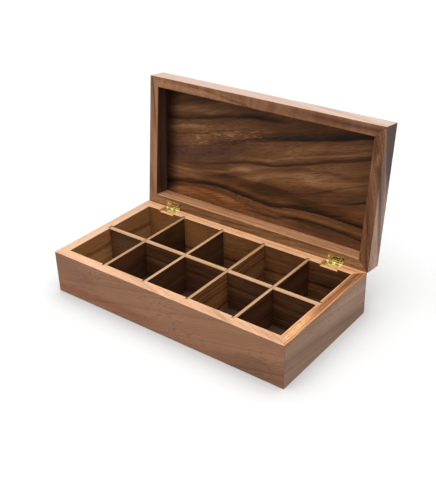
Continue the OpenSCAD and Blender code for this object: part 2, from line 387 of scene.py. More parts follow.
def makeBoardMaterial(name, board):
    onLid = name.startswith("lid")
    material, tree = newMaterial("oiled acacia, " + name.replace("_", " "))
    local = shutPlace(tree, onLid)
    grain = addGrain(tree, local, board)

    crosswise = board.get("crosswise")
    axes = addNode(tree, "ShaderNodeSeparateXYZ", {0: local}).outputs
    along, height = axes["Y" if crosswise else "X"], axes["Z"]
    fromMiddle = addNode(tree, "ShaderNodeMath", {0: axes["X" if crosswise else "Y"]}, operation="ABSOLUTE")
    outer = case["length" if crosswise else "depth"] / 2
    inset = addNode(tree, "ShaderNodeMath", {0: outer, 1: fromMiddle}, operation="SUBTRACT")

    layers = []
    if "inside" in board:
        # the face inside the box, in its own colours: partly the wood's, partly painted shade and light of
        # the box's interior
        starts, full = joinery["intoInside"]
        inner = addNode(tree, "ShaderNodeMapRange", {0: inset, 1: case["wall"] - starts,
                                                     2: case["wall"] - full})
        layers.append((inner, paintWood(tree, grain, board["inside"], along, height), "MIX"))
    # the rim: planed across the fibres and given its own colours; on the base the rims face up, and their
    # paler colours are painted light of the overhead light
    top = board.get("top", case["lidRim"] if onLid else case["rim"])
    starts, full = [short if onLid else -short for short in joinery["intoRim"]]
    rimAndPaintedLight = addNode(tree, "ShaderNodeMapRange", {0: height, 1: top + starts, 2: top + full})
    besideX = addNode(tree, "ShaderNodeMath", {0: axes["X"]}, operation="ABSOLUTE")
    if "mortises" in board:
        # the hinge mortises are cut into the rim; their floors face up like it and take its paler colours,
        # painted light
        middle, half = board["mortises"]
        edge, bottom = joinery["intoMortise"], board["mortiseFloor"] - joinery["intoFloor"]
        fromHinge = addNode(tree, "ShaderNodeMath", {0: besideX, 1: middle}, operation="SUBTRACT")
        reachX = addNode(tree, "ShaderNodeMath", {0: fromHinge}, operation="ABSOLUTE")
        within = addNode(tree, "ShaderNodeMapRange", {0: reachX, 1: half + edge, 2: half - edge})
        raised = addNode(tree, "ShaderNodeMath", {0: height, 1: bottom}, operation="GREATER_THAN")
        cut = addNode(tree, "ShaderNodeMath", {0: within, 1: raised}, operation="MULTIPLY")
        rimAndPaintedLight = addNode(tree, "ShaderNodeMath", {0: cut, 1: rimAndPaintedLight}, operation="MAXIMUM")
    layers.append((rimAndPaintedLight, paintWood(tree, grain, board["rim"], along, inset), "MIX"))

    if name.endswith("wall"):
        # a hairline of dark glue where two walls meet at the mitre
        besideY = addNode(tree, "ShaderNodeMath", {0: axes["Y"]}, operation="ABSOLUTE")
        apart = addNode(tree, "ShaderNodeMath", {0: besideX, 1: besideY}, operation="SUBTRACT")
        seam = addNode(tree, "ShaderNodeMath", {0: apart, 1: (case["length"] - case["depth"]) / 2},
                       operation="SUBTRACT")
        distance = addNode(tree, "ShaderNodeMath", {0: seam}, operation="ABSOLUTE")
        starts, full = joinery["glueWidth"]
        glue = addNode(tree, "ShaderNodeMapRange", {0: distance, 1: starts, 2: full,
                                                    4: joinery["glueStrength"]})
        layers.append((glue, joinery["glueColour"], "MIX"))
    colour = layColours(tree, paintWood(tree, grain, board["face"], along, height), layers)
    addFinish(tree, colour, grain, joinery["shine"])
    return material


# Bands lie by millimetres along a board from its middle, and up its face or in from its outer face
# near-black colours for the box's bottom panel, seen as the compartments' floors: its dark wood deepened
# with painted shade of the deep cells
panelPaint = {"colours": ("#170D07", "#352214", "#4C3421"), "contrast": 0.9}
# the dividers' tops, paler than their dark faces: painted light on the tops
dividerRim = {"colours": ("#694A30", "#8F6F50", "#A88564"), "contrast": 0.7}
allRim = {"line": [(-184, 7), (184, 7)], "soft": (9, 9)}  # a band as wide as the rim
boards = {
    "base_front_wall": {
        "pith": (140, -120), "spacing": 6, "slope": 13,
        "face": {"colours": ("#63412A", "#906346", "#A77C5E"), "contrast": 0.34, "pores": 0.6, "bands": [
            {"line": [(-184, 45), (-110, 38)], "soft": (30, 30), "depth": 0.7, "tint": "#DCD6E0",
             "to": (-90, -140)},
            {"line": [(-184, 9), (-60, 13), (0, 12)], "soft": (10, 10), "depth": 0.8, "tint": "#E8CDB4",
             "to": (10, -50)},
            {"line": [(60, 0), (184, 22)], "soft": (40, 18), "depth": 0.26, "from": (60, 130)},
            {"line": [(110, 18), (145, 27), (165, 20)], "soft": (8, 3), "depth": 0.14, "from": (105, 125),
             "to": (170, 150)},
        ]},
        "rim": {"colours": ("#7E5A39", "#A58063", "#BC9A7C"), "contrast": 0.5, "pores": 0.4, "bands": [
            {**allRim, "depth": 0.16, "from": (-60, 100)},
        ]},
        "inside": {"colours": ("#3B2413", "#5F3F28", "#7A563A"), "contrast": 0.8},
    },
    "base_right_wall": {
        "crosswise": True, "pith": (160, -60), "shift": 400, "spacing": 3.5, "slope": -8,
        "face": {"colours": ("#5E4332", "#86654F", "#A08370"), "contrast": 0.4, "pores": 0.45, "bands": [
            # the first band is painted shade, darker toward the bottom; the third is painted sheen, lighter
            # toward the back near the top
            {"line": [(-95, 30), (-20, 22), (50, 12), (95, 6)], "soft": (24, 16), "depth": 0.16},
            {"line": [(-95, 60), (95, 60)], "soft": (4, 3), "depth": 0.8, "tint": "#F6CFA4", "to": (50, 0)},
            {"line": [(-95, 44), (95, 44)], "soft": (22, 22), "depth": -0.18, "from": (-30, 30)},
        ]},
        "rim": {"colours": ("#5A351B", "#8D5E39", "#B0855E"), "contrast": 0.9, "pores": 0.45, "bands": [
            {"line": [(-95, 2.5), (20, 4), (95, 3)], "soft": (1, 1.2), "depth": 0.32},
            {"line": [(-95, 5), (-20, 6.5), (95, 6)], "soft": (0.8, 1.4), "depth": 0.28, "from": (-60, -20)},
            {"line": [(-95, 9), (95, 8.5)], "soft": (1.2, 1.6), "depth": 0.34, "from": (-40, 20)},
            {"line": [(-95, 12), (95, 11.5)], "soft": (0.4, 0.5), "depth": 0.4, "from": (-85, -70)},
            {"line": [(-95, 13.5), (95, 13.5)], "soft": (0.8, 2), "depth": -0.35},
            {"line": [(-95, 7), (95, 7)], "soft": (9, 9), "depth": -0.35, "to": (10, -60)},
            {"line": [(-95, 7), (95, 7)], "soft": (9, 9), "depth": 0.22, "from": (0, 80)},
        ]},
        "inside": {"colours": ("#2E1B10", "#573A26", "#735038"), "contrast": 0.8},
    },
    "base_back_wall": {
        "pith": (-150, -60), "shift": 900, "spacing": 5, "slope": 4,
        "mortises": (136.5, 13.1),  # their middles to either side, and half of their length
        "mortiseFloor": 57.6,
        "face": {"colours": ("#63412A", "#8F6546", "#A87E5E"), "contrast": 0.5},
        "rim": {"colours": ("#8C623E", "#B88A64", "#CFA584"), "contrast": 0.7, "pores": 0.4, "bands": [
            {**allRim, "depth": 0.8, "tint": "#F4D8C8", "from": (130, 170)},
        ]},
        "inside": {"colours": ("#2A1609", "#684021", "#905E35"), "contrast": 0.9, "bands": [
            {"line": [(-184, 40), (184, 40)], "soft": (50, 40), "depth": -0.45, "to": (0, -110)},
            {"line": [(-184, 30), (184, 36)], "soft": (50, 40), "depth": 0.42, "from": (60, 150)},
        ]},
    },
    "base_left_wall": {
        "crosswise": True, "pith": (-260, -70), "shift": 1300, "spacing": 6, "slope": -3,
        "face": {"colours": ("#63412A", "#8F6546", "#A87E5E"), "contrast": 0.5},
        "rim": {"colours": ("#80593B", "#A38367", "#BE9F83"), "contrast": 0.6, "pores": 0.4},
        "inside": {"colours": ("#583115", "#976438", "#AD7C50"), "contrast": 0.8},
    },
    "lid_front_wall": {
        "pith": (90, 60), "shift": 3000, "spacing": 5, "slope": -12,
        # this face looks up when the lid is open: its pale, greyed colours are painted sheen of the overhead
        # light
        "face": {"colours": ("#785E4E", "#998376", "#AE978A"), "contrast": 0.35, "pores": 0.4},
        "rim": {"colours": ("#573118", "#85583A", "#A57552"), "contrast": 0.6, "pores": 0.4, "bands": [
            {"line": [(-184, 2), (-100, 4), (-50, 9), (-10, 14)], "soft": (2.5, 2), "depth": 0.3,
             "from": (-130, -100), "to": (0, -20)},
            {"line": [(-184, 10), (184, 10)], "soft": (9, 6), "depth": -0.32, "to": (-30, -90)},
            {**allRim, "depth": 0.8, "tint": "#B8A8B4", "from": (-30, 130)},
            {"line": [(60, 4), (150, 7), (184, 5)], "soft": (3, 3), "depth": 0.25, "from": (40, 130)},
        ]},
    },
    "lid_right_wall": {
        "crosswise": True, "pith": (100, 30), "shift": 3700, "spacing": 4, "slope": 14,
        "face": {"colours": ("#3E2413", "#9C7965", "#B39584"), "contrast": 0.6, "pores": 0.5, "bands": [
            # the first two bands are painted shade, darkening the face toward the lid's front end, its top
            # when open, far from the light thrown up by the floor
            {"line": [(-95, 75), (95, 75)], "soft": (34, 34), "depth": 0.56, "to": (60, -95)},
            {"line": [(-95, 90), (-40, 97), (95, 115)], "soft": (22, 20), "depth": 0.4, "to": (20, -90)},
            {"line": [(40, 69), (70, 74)], "soft": (1.6, 2), "depth": 0.4, "from": (45, 60), "to": (80, 68)},
        ]},
        "rim": {"colours": ("#43260F", "#6E452A", "#926748"), "contrast": 0.8, "pores": 0.4, "bands": [
            {"line": [(-60, 6), (-40, 6)], "soft": (4, 5), "depth": -0.5, "from": (-65, -56),
             "to": (-40, -50)},
            {"line": [(10, 10), (60, 6), (95, 1)], "soft": (2, 3), "depth": 0.3, "from": (0, 30)},
        ]},
    },
    "lid_back_wall": {
        "pith": (-130, 20), "shift": 4400, "spacing": 5, "slope": 2,
        "face": {"colours": ("#5A3A24", "#8A6145", "#A4795A"), "contrast": 0.6},
        "rim": {"colours": ("#41260F", "#845A36", "#A4784E"), "contrast": 1.1, "pores": 0.6, "bands": [
            {**allRim, "depth": -0.4, "to": (-135, -165)},
        ]},
        "inside": {"colours": ("#684020", "#946848", "#B88E68"), "contrast": 1.0, "pores": 0.6, "bands": [
            {"line": [(-184, 63), (184, 63)], "soft": (2, 3), "depth": -0.25},
            {"line": [(-184, 72), (184, 70)], "soft": (1, 1), "depth": 0.12, "from": (-60, 20)},
            {"line": [(-184, 76), (184, 75)], "soft": (1, 1), "depth": 0.15, "from": (-20, 60)},
        ]},
    },
    "lid_left_wall": {
        "crosswise": True, "pith": (-200, 40), "shift": 5100, "spacing": 4, "slope": 3,
        "face": {"colours": ("#5A3A24", "#8A6145", "#A4795A"), "contrast": 0.6},
        "rim": {"colours": ("#5E3A22", "#936545", "#AF8263"), "contrast": 0.5, "pores": 0.3, "bands": [
            {"line": [(-95, 3), (-50, 8.5), (0, 12), (50, 14)], "soft": (1.5, 2.2), "depth": 0.45,
             "to": (0, -40)},
            {"line": [(-60, 12), (95, 11)], "soft": (4, 3), "depth": -0.2},
        ]},
        # the inner face: its own dark streak, deepened with painted shade of the lid's deep corner
        "inside": {"colours": ("#160D07", "#4D3424", "#624736"), "contrast": 0.7},
    },
    "base_bottom_panel": {
        "pith": (20, 60), "shift": 200, "spacing": 9, "wander": 14, "face": panelPaint, "rim": panelPaint,
    },
    "long_divider": {
        "pith": (12, -50), "shift": 2100, "spacing": 5, "top": case["dividerTop"], "rim": dividerRim,
        "face": {"colours": ("#261308", "#472917", "#6E4B2E"), "contrast": 0.9, "bands": [
            {"line": [(-170, 30), (170, 30)], "soft": (50, 40), "depth": -0.42, "to": (-95, -125)},
        ]},
    },
}
# each divider's face, the long one's too, is dark in its own tone: painted shade of the deep compartments
dividerTones = (("#482A16", "#643F25"), ("#3A2211", "#54341D"), ("#7B4C28", "#916241"),
                ("#3F2110", "#5C3A22"))
for number, (mid, light) in enumerate(dividerTones, 1):
    boards[f"cross_divider_{number}"] = {
        "crosswise": True, "pith": (20 * number, -40 - 9 * number), "shift": 1000 * number, "spacing": 4.5,
        "top": case["dividerTop"], "rim": dividerRim,
        "face": {"colours": ("#201108", mid, light), "contrast": 0.9}}

for name, board in boards.items():
    wear(nodes[name], makeBoardMaterial(name, board))
print("boards ready")

# The lid's panel is one wide figured board. Its bands lie by millimetres from the panel's left edge
# and from the lid's front wall
panel = {
    "left": -169.5,
    "front": -80.5,
    "outerFace": 89.3,
    "colours": [(0.0, "#120A05"), (0.22, "#2B1A0F"), (0.42, "#4B2F1B"), (0.58, "#6C4429"), (0.74, "#865B38"),
                (0.95, "#A47B56")],
    "base": 0.55,
    "ripple": 0.58,
    "shine": 0.15,
    "bands": [
        # the dark streak across the top left
        {"line": [(0, 48), (25, 45), (50, 40), (75, 35), (100, 28), (125, 24), (150, 19), (175, 17),
                  (200, 16)], "soft": (7, 3), "depth": 0.27, "to": (215, 150)},
        {"line": [(110, 26), (150, 19), (175, 17), (200, 16), (225, 15)], "soft": (7, 5), "depth": 0.15,
         "from": (110, 140), "to": (230, 180)},
        # the broad dark streak that narrows into the top right corner
        {"line": [(60, 73), (100, 64), (150, 51), (175, 45), (200, 39), (225, 34), (250, 28.5), (275, 23.5),
                  (300, 17), (339, 6)], "soft": (15, 3.5), "depth": 0.40, "from": (120, 235)},
        {"line": [(60, 73), (100, 64), (150, 51), (200, 39), (225, 34)], "soft": (5, 5), "depth": 0.14,
         "from": (60, 110), "to": (230, 190)},
        {"line": [(0, 70), (25, 67), (62, 59), (105, 47), (150, 34), (200, 22)], "soft": (2, 1.5),
         "depth": 0.16, "to": (170, 110)},
        {"line": [(0, 93), (25, 87), (50, 80), (88, 72), (140, 55)], "soft": (1.2, 2), "depth": 0.1,
         "to": (160, 110)},
        # the thin streak from the left edge up to the right one
        {"line": [(0, 110), (50, 107), (75, 102), (100, 95), (125, 89), (150, 83), (175, 80), (200, 75),
                  (225, 68), (250, 61), (275, 53), (300, 46), (339, 33)], "soft": (6, 3), "depth": 0.25,
         "from": (-60, 175)},
        {"line": [(150, 84), (175, 81), (200, 76), (225, 69), (250, 62)], "soft": (2.5, 1.5), "depth": 0.14,
         "from": (150, 170), "to": (265, 225)},
        {"line": [(130, 82), (150, 78), (180, 73), (200, 66), (225, 58), (250, 52), (300, 38), (339, 26)],
         "soft": (4, 2.5), "depth": -0.2, "from": (130, 180)},
        # the brown heart above the lowest streak, with an edge above it
        {"line": [(60, 118), (100, 110.5), (115, 109), (150, 108.5), (190, 107.5), (212, 108), (339, 112)],
         "soft": (0.8, 16), "depth": 0.16, "from": (70, 120), "to": (240, 195)},
        {"line": [(150, 124), (172, 122), (195, 126)], "soft": (10, 9), "depth": 0.12, "from": (140, 168),
         "to": (205, 182)},
        {"line": [(200, 123), (270, 119), (339, 121)], "soft": (11, 11), "depth": 0.16, "from": (205, 245)},
        {"line": [(110, 104), (200, 94), (270, 84), (339, 76)], "soft": (34, 18), "depth": -0.13,
         "from": (100, 165)},
        # the lowest streak, sharp below and soft above
        {"line": [(0, 147), (12, 143), (25, 140), (50, 137), (75, 132.5), (100, 131), (125, 132),
                  (150, 134.5), (175, 136), (190, 136), (212, 131.5), (250, 128.5), (275, 127.5), (300, 128),
                  (339, 133)],
         "soft": (9, 1.8), "depth": 0.40},
        {"line": [(120, 156), (150, 153), (190, 152), (212, 147), (250, 143), (275, 143), (300, 145),
                  (339, 149)], "soft": (5, 2), "depth": 0.24, "from": (110, 180)},
        {"line": [(240, 106), (270, 93), (300, 81), (339, 65)], "soft": (1.5, 4), "depth": 0.16,
         "from": (238, 265)},
        {"line": [(285, 108), (300, 104), (320, 97), (339, 90)], "soft": (2, 2.5), "depth": 0.2,
         "from": (285, 305)},
        # light streaks
        {"line": [(0, 36), (40, 28), (80, 25), (110, 18)], "soft": (17, 8), "depth": -0.25, "to": (140, 80)},
        {"line": [(0, 62), (20, 57), (45, 51), (75, 47)], "soft": (3, 6), "depth": -0.2, "to": (90, 60)},
        {"line": [(170, 72), (200, 58), (250, 42), (300, 28), (339, 18)], "soft": (12, 8), "depth": -0.14,
         "from": (160, 220)},
        {"line": [(110, 106), (150, 98), (200, 94), (250, 80), (300, 64), (339, 52)], "soft": (16, 16),
         "depth": -0.1, "from": (105, 140), "to": (330, 250)},
        {"line": [(113, 103), (128, 97), (150, 94)], "soft": (4, 5), "depth": -0.15, "from": (110, 118),
         "to": (156, 140)},
        {"line": [(10, 119), (50, 117), (75, 112), (112, 105)], "soft": (2.5, 4), "depth": -0.2,
         "to": (125, 95)},
        {"line": [(0, 126), (45, 124)], "soft": (6, 6), "depth": -0.12, "to": (70, 35)},
        {"line": [(0, 160), (30, 148), (60, 144), (100, 143), (130, 146), (170, 152)], "soft": (4, 20),
         "depth": -0.3, "to": (190, 110)},
        {"line": [(150, 143), (200, 140), (250, 136), (339, 141)], "soft": (3, 5), "depth": -0.1,
         "from": (130, 170)},
    ],
    "tints": [
        # greyish purple heartwood, olive brown round the heart's edge, and warm wood below the lowest streak
        {"line": [(0, 100), (50, 92), (100, 80), (150, 66), (200, 52)], "soft": (28, 18), "depth": 0.9,
         "tint": "#B8B4E0", "to": (190, 90)},
        {"line": [(40, 118), (110, 116), (200, 116), (339, 120)], "soft": (12, 20), "depth": 0.9,
         "tint": "#FFF4C8", "from": (40, 100)},
        {"line": [(0, 160), (100, 148), (180, 150), (339, 150)], "soft": (30, 20), "depth": 0.7,
         "tint": "#FFE4C0", "to": (200, 110)},
    ],
    # inside, painted shade darkens the panel along the left wall, where the corner lies in shadow
    "corner": {"line": [(-5, 0), (170, 0)], "soft": (1, 27), "depth": 1.0, "tint": "#787676"},
    "flecks": {"line": [(30, 74), (60, 66), (100, 57), (150, 45), (190, 33)], "soft": (19, 19), "depth": 0.3,
               "from": (20, 60), "to": (205, 150)},
    "knots": [(210, 109), (128, 135), (139, 134)],
    "knotShape": 0.6,  # width over length
    "knotSize": (1.6, 0.7),  # from its middle, where it starts to darken and where it is darkest
    "knotStrength": 0.85,
    "knotColour": "#140B07",
    "pores": 0.35,
    "poreColour": "#170D07",
    "threads": (34, 1.8),
    "threadShare": (0.6, 1.4),
    "wavers": (((45, 22), 2.6), ((14, 4), 1.2)),  # each noise's lumps, and the full width of its shift
    "grainTurns": (112, 136),
    "upper": {"pith": (40, 300), "shift": 5800, "yaw": 15, "spacing": 7, "wander": 10},
    "lower": {"pith": (60, 260), "shift": 6800, "yaw": 1, "spacing": 7, "wander": 10},
}

def makePanelMaterial(panel):
    material, tree = newMaterial("oiled acacia, figured lid panel")
    local = shutPlace(tree, True)
    corner = addNode(tree, "ShaderNodeVectorMath", {0: local, 1: (panel["left"], panel["front"], 0)},
                     operation="SUBTRACT")
    # lines of real wood waver, a lot over long stretches and less over short ones
    place = corner
    for size, waver in panel["wavers"]:
        noise = addNoise(tree, corner, size, 2.0)["Color"]
        shift = addNode(tree, "ShaderNodeVectorMath", {0: noise, 1: (waver,) * 3, 2: place},
                        operation="MULTIPLY_ADD")
        place = addNode(tree, "ShaderNodeVectorMath", {0: shift, 1: (waver / 2,) * 3}, operation="SUBTRACT")
    axes = addNode(tree, "ShaderNodeSeparateXYZ", {0: place}).outputs
    x, y = axes["X"], axes["Y"]

    # the grain turns where the lowest streak crosses the board
    upperEnd, lowerEnd = panel["grainTurns"]
    below = addNode(tree, "ShaderNodeMapRange", {0: y, 1: upperEnd, 2: lowerEnd},
                    interpolation_type="SMOOTHSTEP")
    upper, lower = addGrain(tree, local, panel["upper"]), addGrain(tree, local, panel["lower"])

    # each streak is made of many threads, darker and lighter
    threads = addNoise(tree, upper["Along"], panel["threads"], 2.0)["Fac"]
    weak, strong = panel["threadShare"]
    uneven = addNode(tree, "ShaderNodeMapRange", {0: threads, 1: 0.3, 2: 0.7, 3: weak, 4: strong})
    tone = panel["base"]
    for band in panel["bands"]:
        amount = addNode(tree, "ShaderNodeMath", {0: addBand(tree, band, x, y), 1: uneven},
                         operation="MULTIPLY")
        tone = addNode(tree, "ShaderNodeMath", {0: tone, 1: amount}, operation="SUBTRACT")
    grainTone = addNode(tree, "ShaderNodeMix", {0: below, 2: upper["Tone"], 3: lower["Tone"]})
    ripple = addNode(tree, "ShaderNodeMath", {0: grainTone, 1: -0.5}, operation="ADD")
    tone = addNode(tree, "ShaderNodeMath", {0: ripple, 1: panel["ripple"], 2: tone},
                   operation="MULTIPLY_ADD")
    flecked = addNode(tree, "ShaderNodeMath", {0: upper["Flecks"], 1: addBand(tree, panel["flecks"], x, y)},
                      operation="MULTIPLY")
    tone = addNode(tree, "ShaderNodeMath", {0: tone, 1: flecked}, operation="ADD")
    ramp = addNode(tree, "ShaderNodeValToRGB", {0: tone})
    setRamp(ramp.color_ramp, panel["colours"])
    layers = [(addBand(tree, tint, x, y), tint["tint"], "MULTIPLY") for tint in panel["tints"]]

    # painted shade along the left wall, on the panel's inner face only
    cornerShade = panel["corner"]
    height = addNode(tree, "ShaderNodeSeparateXYZ", {0: local}).outputs["Z"]
    inside = addNode(tree, "ShaderNodeMath", {0: height, 1: panel["outerFace"] - 1.0}, operation="LESS_THAN")
    cornerShadeAmount = addNode(tree, "ShaderNodeMath", {0: addBand(tree, cornerShade, y, x), 1: inside}, operation="MULTIPLY")
    layers.append((cornerShadeAmount, cornerShade["tint"], "MULTIPLY"))

    grainPores = addNode(tree, "ShaderNodeMix", {0: below, 2: upper["Pores"], 3: lower["Pores"]})
    pores = addNode(tree, "ShaderNodeMath", {0: grainPores, 1: panel["pores"]}, operation="MULTIPLY")
    layers.append((pores, panel["poreColour"], "MIX"))

    # a knot is an oval, longer along the board
    narrow = panel["knotShape"]
    rim, heart = panel["knotSize"]
    for knotX, knotY in panel["knots"]:
        flat = addNode(tree, "ShaderNodeVectorMath", {0: place, 1: (narrow, 1.0, 0.0)}, operation="MULTIPLY")
        reach = addNode(tree, "ShaderNodeVectorMath", {0: flat, 1: (narrow * knotX, knotY, 0)},
                        operation="DISTANCE").outputs["Value"]
        knot = addNode(tree, "ShaderNodeMapRange", {0: reach, 1: rim, 2: heart, 4: panel["knotStrength"]})
        layers.append((knot, panel["knotColour"], "MIX"))
    addFinish(tree, layColours(tree, ramp, layers), upper, panel["shine"])
    return material


wear(nodes["lid_top_panel"], makePanelMaterial(panel))
print("lid panel ready")

rolledSheet = {
    # noise lumps to a metre: rolling lines 0.3 mm apart, as the real ones are finer than a render shows
    "lines": (120.0, 3300.0, 3300.0),
    "lineDepth": 0.02 * mm,
    "bump": 0.4,
    "tarnish": 400.0,
    "tarnishRange": (0.3, 0.6),
    "roughness": (0.12, 0.24),
}


def makeBrass(name, darker, lighter):
    # Rolled brass sheet, polished and lacquered: yellow, mirrors what is near it a little blurred
    material, tree = newMaterial(name)
    place = addNode(tree, "ShaderNodeTexCoord").outputs["Object"]
    streak = addNode(tree, "ShaderNodeVectorMath", {0: place, 1: rolledSheet["lines"]}, operation="MULTIPLY")
    lines = addNode(tree, "ShaderNodeTexNoise", {"Vector": streak, "Scale": 1.0, "Detail": 2.0})
    tarnish = addNode(tree, "ShaderNodeTexNoise", {"Vector": place, "Scale": rolledSheet["tarnish"],
                                                   "Detail": 3.0})
    tint = addNode(tree, "ShaderNodeValToRGB", {0: tarnish})
    setRamp(tint.color_ramp, list(zip(rolledSheet["tarnishRange"], (darker, lighter))))
    smooth, coarse = rolledSheet["roughness"]
    rough = addNode(tree, "ShaderNodeMapRange", {0: lines, 1: 0.3, 2: 0.7, 3: smooth, 4: coarse})
    bump = addNode(tree, "ShaderNodeBump", {"Height": lines, "Distance": rolledSheet["lineDepth"],
                                            "Strength": rolledSheet["bump"]})
    shader = addNode(tree, "ShaderNodeBsdfPrincipled", {"Base Color": tint, "Metallic": 1.0,
                                                        "Roughness": rough, "Normal": bump})
    addNode(tree, "ShaderNodeOutputMaterial", {"Surface": shader})
    return material


brass = makeBrass("polished brass", "#F4E2A0", "#FFF6CC")
# the lid's half of each hinge is the same brass painted darker: painted shade and dark reflection of the lid
# around it
shadedBrassCopy = makeBrass("polished brass, painted shade", "#B0954C", "#D6BF78")
for name in ("hinge_pin_left", "hinge_pin_right"):
    wear(nodes[name], brass)

# A half of a hinge is drawn lying under its pin; the lid's half is turned over and swung open with the lid
hinge = {
    "length": 25 * mm,
    "leafWidth": 10.3 * mm,
    "sheet": 0.8 * mm,
    "offset": 1.85 * mm,  # from the pin's axis to a leaf's outer face
    "corner": 0.6 * mm,
    "cornerSteps": 5,
    "holeSides": 40,
    "barrel": 1.6 * mm,
    "barrelSteps": 26,
    "bore": 0.8 * mm,
    "boreSteps": 34,
    "rolledTo": 212,  # where the rolled sheet ends, in degrees round the pin
    "tongue": 0.6 * mm,  # from the pin's axis, where the sheet lies flat
    "pitch": 5 * mm,
    "baseKnuckles": (-2, 0, 2),  # their places, counted in pitches from the middle
    "lidKnuckles": (-1, 1),
    "knuckleGap": 0.2 * mm,
    "barTop": -1.879 * mm,
    "barHeight": 1.2 * mm,
    "softened": 0.08 * mm,
    "softSteps": 2,
    "sharpFrom": (40, 35),  # in degrees, the edges to soften and the edges to shade as sharp
}
screw = {
    "along": 8.9 * mm,
    "fromPin": 7.2 * mm,
    "head": 1.8 * mm,
    "headHeight": 0.64 * mm,
    "headSides": 40,
    "shank": 1.0 * mm,
    "shankSides": 24,
    "length": 9.0 * mm,
    "recess": (2.16 * mm, 0.5 * mm, 1.0 * mm),  # half of its height is above the head
    "holeGap": 0.05 * mm,
    "seed": 4,
}


def addSolid(tree, outline, depth):
    # fills a flat outline and gives it a thickness along Z
    flat = addNode(tree, "GeometryNodeFillCurve", {"Curve": outline})
    raised = addNode(tree, "GeometryNodeExtrudeMesh", {"Mesh": flat, "Offset": (0, 0, 1),
                                                       "Offset Scale": depth, "Individual": False})
    under = addNode(tree, "GeometryNodeFlipFaces", {"Mesh": flat})
    shell = addNode(tree, "GeometryNodeJoinGeometry", {0: [raised, under]})
    return addNode(tree, "GeometryNodeMergeByDistance", {"Geometry": shell, "Distance": 0.001 * mm})


def addRow(tree, first, step, count, part):
    row = addNode(tree, "GeometryNodeMeshLine", {"Count": count, "Start Location": first, "Offset": step})
    return addNode(tree, "GeometryNodeInstanceOnPoints", {"Points": row, "Instance": part})


def finishTree(tree, given, half):
    # one of these on each of the two hinges, turned with its body
    turned = addNode(tree, "GeometryNodeTransform", {"Geometry": half, "Rotation": given["Turn"]})
    pair = addRow(tree, given["First Hinge"], given["Hinge Step"], 2, turned)
    whole = addNode(tree, "GeometryNodeRealizeInstances", {"Geometry": pair})
    finished = addNode(tree, "GeometryNodeSetMaterial", {"Geometry": whole, "Material": given["Finish"]})
    addNode(tree, "NodeGroupOutput", {"Geometry": finished})
    return tree


pairSockets = {"First Hinge": "Vector", "Hinge Step": "Vector", "Turn": "Rotation", "Finish": "Material"}
acrossPin = Matrix(((0, 0, 1), (1, 0, 0), (0, 1, 0))).to_euler()  # stands an XY outline across the pin


def makeLeafTree():
    tree, given = newTree("knuckled hinge leaf", "GeometryNodeTree", {
        "Knuckle Outline": "Geometry", "Knuckle Width": "Float", "First Knuckle": "Vector",
        "Knuckle Step": "Vector", "Knuckle Count": "Int", "Length": "Float", "Reach": "Float",
        "Plate Centre": "Vector", "Sheet": "Float", "Corner Radius": "Float", "Hole Radius": "Float",
        "First Hole": "Vector", "Hole Step": "Vector", "Stop Bar": "Bool", "Bar Size": "Vector",
        "Bar Centre": "Vector", **pairSockets}, {"Geometry": "Geometry"})

    # the plate: rounded corners at its free edge, and a hole for each screw
    plate = addNode(tree, "GeometryNodeCurvePrimitiveQuadrilateral", {"Width": given["Length"],
                                                                      "Height": given["Reach"]})
    corner = addNode(tree, "ShaderNodeSeparateXYZ", {0: addNode(tree, "GeometryNodeInputPosition")})
    free = addNode(tree, "ShaderNodeMath", {0: corner.outputs["Y"], 1: 0.0}, operation="LESS_THAN")
    radius = addNode(tree, "ShaderNodeMath", {0: free, 1: given["Corner Radius"]}, operation="MULTIPLY")
    rounded = addNode(tree, "GeometryNodeFilletCurve", {"Curve": plate, "Radius": radius,
                                                        "Count": hinge["cornerSteps"]}, mode="POLY")
    hole = addNode(tree, "GeometryNodeCurvePrimitiveCircle", {"Resolution": hinge["holeSides"],
                                                              "Radius": given["Hole Radius"]})
    holes = addRow(tree, given["First Hole"], given["Hole Step"], 2, hole)
    cut = addNode(tree, "GeometryNodeRealizeInstances", {"Geometry": holes})
    pierced = addNode(tree, "GeometryNodeJoinGeometry", {0: [rounded, cut]})
    plateSolid = addSolid(tree, pierced, given["Sheet"])
    platePlaced = addNode(tree, "GeometryNodeTransform", {"Geometry": plateSolid,
                                                          "Translation": given["Plate Centre"]})

    # the knuckles: one rolled outline, stood across the pin and repeated
    drawn = addNode(tree, "GeometryNodeMeshToCurve", {"Mesh": given["Knuckle Outline"]})
    rolled = addSolid(tree, drawn, given["Knuckle Width"])
    knuckle = addNode(tree, "GeometryNodeTransform", {"Geometry": rolled, "Rotation": acrossPin})
    knuckles = addRow(tree, given["First Knuckle"], given["Knuckle Step"], given["Knuckle Count"], knuckle)

    # the bar under the base's knuckles, on which the lid's heels stop
    bar = addNode(tree, "GeometryNodeMeshCube", {"Size": given["Bar Size"]})
    barPlaced = addNode(tree, "GeometryNodeTransform", {"Geometry": bar, "Translation": given["Bar Centre"]})
    barIfAny = addNode(tree, "GeometryNodeSwitch", {"Switch": given["Stop Bar"], "True": barPlaced},
                       input_type="GEOMETRY")
    leaf = addNode(tree, "GeometryNodeJoinGeometry", {0: [platePlaced, knuckles, barIfAny]})
    return finishTree(tree, given, leaf)


